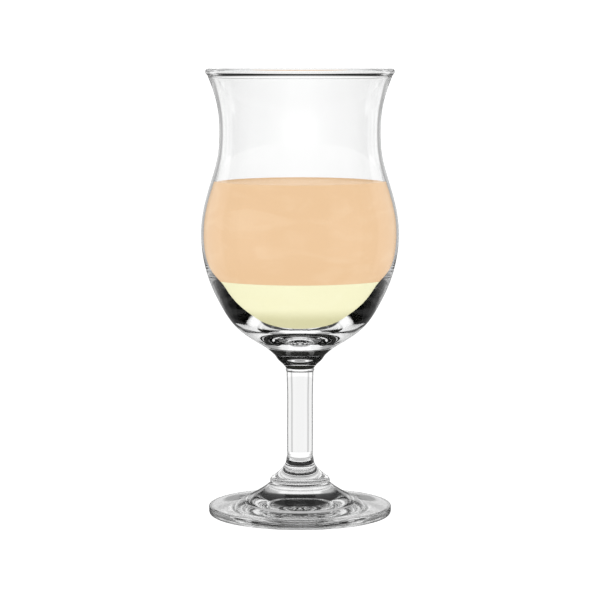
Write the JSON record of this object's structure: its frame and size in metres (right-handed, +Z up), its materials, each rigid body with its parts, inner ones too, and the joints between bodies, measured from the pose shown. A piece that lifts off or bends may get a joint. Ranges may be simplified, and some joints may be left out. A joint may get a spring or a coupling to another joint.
{
  "type": "scotch sour",
  "caption": "Layered whisky and lemon sour in a clear footed glass with a flared rim, rounded bowl, straight stem and domed foot.",
  "frame": {"origin": "centre of the foot's underside, on the plane that it rests on", "axes": "+Z up along the axis that the glass is turned about, from the foot to the rim; the part is the same all round, so +X and +Y are free"},
  "size_m": [0.079, 0.079, 0.1788],
  "materials": {
    "clear_glass": "clear, fire-polished",
    "whisky": "slightly cloudy pale peach liquid",
    "lemon": "cloudy pale yellow liquid"
  },
  "bodies": {
    "root": {"glass": "clear_glass", "whisky_layer": "whisky", "lemon_layer": "lemon"}
  },
  "joints": []
}
